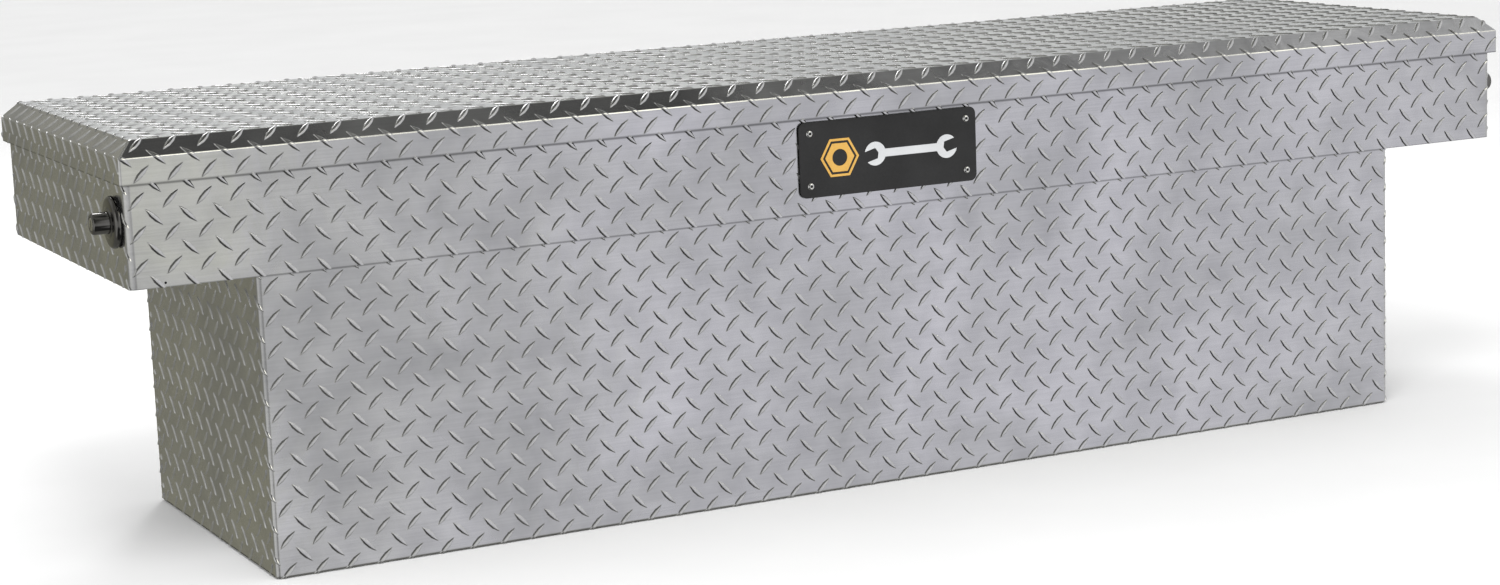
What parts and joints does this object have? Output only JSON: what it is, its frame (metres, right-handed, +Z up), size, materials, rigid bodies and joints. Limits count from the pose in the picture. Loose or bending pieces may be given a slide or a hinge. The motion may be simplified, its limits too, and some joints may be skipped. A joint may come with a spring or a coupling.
{
  "type": "truck tool box",
  "caption": "Aluminium tread-plate crossbed truck tool box: hinged lid on gas struts, push-button locks, and a deep tub that hangs between two rail saddles.",
  "frame": {"origin": "under the tub floor, at the middle of the box's length and depth", "axes": "+X along the length, towards the right-hand end seen from the name plate; -Y is the front (tailgate side) with the name plate; +Z up"},
  "size_m": [1.795, 0.495, 0.471],
  "materials": {
    "tread_plate": "bright rolled tread plate",
    "mill_sheet": "plain mill-finish sheet",
    "zinc_steel": "zinc-plated steel",
    "black_steel": "satin black paint",
    "black_chrome": "glossy black lock finish",
    "polished_rod": "hard-chromed rod",
    "rubber": "black sealing rubber",
    "plate_black": null,
    "plated_brass": "nickel-plated brass key cylinder"
  },
  "bodies": {
    "box": {"upper_front_panel": "tread_plate", "upper_rear_panel": "tread_plate", "left_end_panel": "tread_plate", "right_end_panel": "tread_plate", "left_saddle_panel": "tread_plate", "right_saddle_panel": "tread_plate", "tub_wrap": "tread_plate", "left_drain_plug": "rubber", "right_drain_plug": "rubber", "weather_seal": "rubber", "hinge_body_leaf": "mill_sheet", "hinge_pin": "zinc_steel", "name_plate": "plate_black", "name_plate_rivet_1": "mill_sheet", "name_plate_rivet_2": "mill_sheet", "name_plate_rivet_3": "mill_sheet", "name_plate_rivet_4": "mill_sheet", "left_lock_gasket": "rubber", "left_lock_escutcheon": "black_chrome", "left_lock_nut": "zinc_steel", "left_button_spring": "zinc_steel", "right_lock_gasket": "rubber", "right_lock_escutcheon": "black_chrome", "right_lock_nut": "zinc_steel", "right_button_spring": "zinc_steel", "left_shaft_bracket": "zinc_steel", "middle_shaft_bracket": "zinc_steel", "right_shaft_bracket": "zinc_steel", "shaft_return_spring": "zinc_steel", "left_strut_body_mount": "zinc_steel", "right_strut_body_mount": "zinc_steel"},
    "lid": {"lid_shell": "tread_plate", "lid_stiffener": "mill_sheet", "hinge_lid_leaf": "mill_sheet", "left_striker": "zinc_steel", "right_striker": "zinc_steel", "left_strut_lid_bracket": "zinc_steel", "right_strut_lid_bracket": "zinc_steel"},
    "left_button": {"left_push_button": "black_chrome"},
    "left_key": {"left_key_cylinder": "plated_brass"},
    "right_button": {"right_push_button": "black_chrome"},
    "right_key": {"right_key_cylinder": "plated_brass"},
    "release_shaft": {"release_shaft": "zinc_steel", "left_latch_hook": "zinc_steel", "right_latch_hook": "zinc_steel", "left_trip_arm": "zinc_steel", "right_trip_arm": "zinc_steel"},
    "left_strut_cylinder": {"left_strut_cylinder": "black_steel"},
    "left_strut_rod": {"left_strut_rod": "polished_rod", "left_strut_lid_stud": "zinc_steel"},
    "right_strut_cylinder": {"right_strut_cylinder": "black_steel"},
    "right_strut_rod": {"right_strut_rod": "polished_rod", "right_strut_lid_stud": "zinc_steel"}
  },
  "joints": [
    {"name": "lid_hinge", "type": "hinge", "parent": "box", "child": "lid", "pos_m": [0, 0.2425, 0.42325], "axis": [-1, 0, 0], "range_deg": [0, 80]},
    {"name": "left_button_press", "type": "slide", "parent": "box", "child": "left_button", "axis": [1, 0, 0], "range_m": [0, 0.006], "stiffness_N_per_m": 600, "springref_m": -0.004},
    {"name": "left_key_turn", "type": "hinge", "parent": "left_button", "child": "left_key", "pos_m": [-0.8875, -0.2035, 0.386], "axis": [-1, 0, 0], "range_deg": [0, 90]},
    {"name": "left_strut_swing", "type": "hinge", "parent": "box", "child": "left_strut_cylinder", "pos_m": [-0.826, -0.0875, 0.348], "axis": [1, 0, 0], "range_deg": [0, 7]},
    {"name": "left_strut_extend", "type": "slide", "parent": "left_strut_cylinder", "child": "left_strut_rod", "axis": [0, 0.9146, 0.4043], "range_m": [0, 0.15]},
    {"name": "right_button_press", "type": "slide", "parent": "box", "child": "right_button", "axis": [-1, 0, 0], "range_m": [0, 0.006], "stiffness_N_per_m": 600, "springref_m": -0.004},
    {"name": "right_key_turn", "type": "hinge", "parent": "right_button", "child": "right_key", "pos_m": [0.8875, -0.2035, 0.386], "axis": [1, 0, 0], "range_deg": [0, 90]},
    {"name": "right_strut_swing", "type": "hinge", "parent": "box", "child": "right_strut_cylinder", "pos_m": [0.826, -0.0875, 0.348], "axis": [1, 0, 0], "range_deg": [0, 7]},
    {"name": "right_strut_extend", "type": "slide", "parent": "right_strut_cylinder", "child": "right_strut_rod", "axis": [0, 0.9146, 0.4043], "range_m": [0, 0.15]},
    {"name": "release_shaft_turn", "type": "hinge", "parent": "box", "child": "release_shaft", "pos_m": [0, -0.178, 0.396], "axis": [-1, 0, 0], "range_deg": [0, 12]}
  ],
  "couplings": [
    {"joint": "left_strut_swing", "follows": "lid_hinge", "ratio": 0.06942},
    {"joint": "left_strut_extend", "follows": "lid_hinge", "m_per_rad": 0.10112},
    {"joint": "right_strut_swing", "follows": "lid_hinge", "ratio": 0.06942},
    {"joint": "right_strut_extend", "follows": "lid_hinge", "m_per_rad": 0.10112},
    {"joint": "release_shaft_turn", "follows": "left_button_press", "rad_per_m": 30.833}
  ]
}
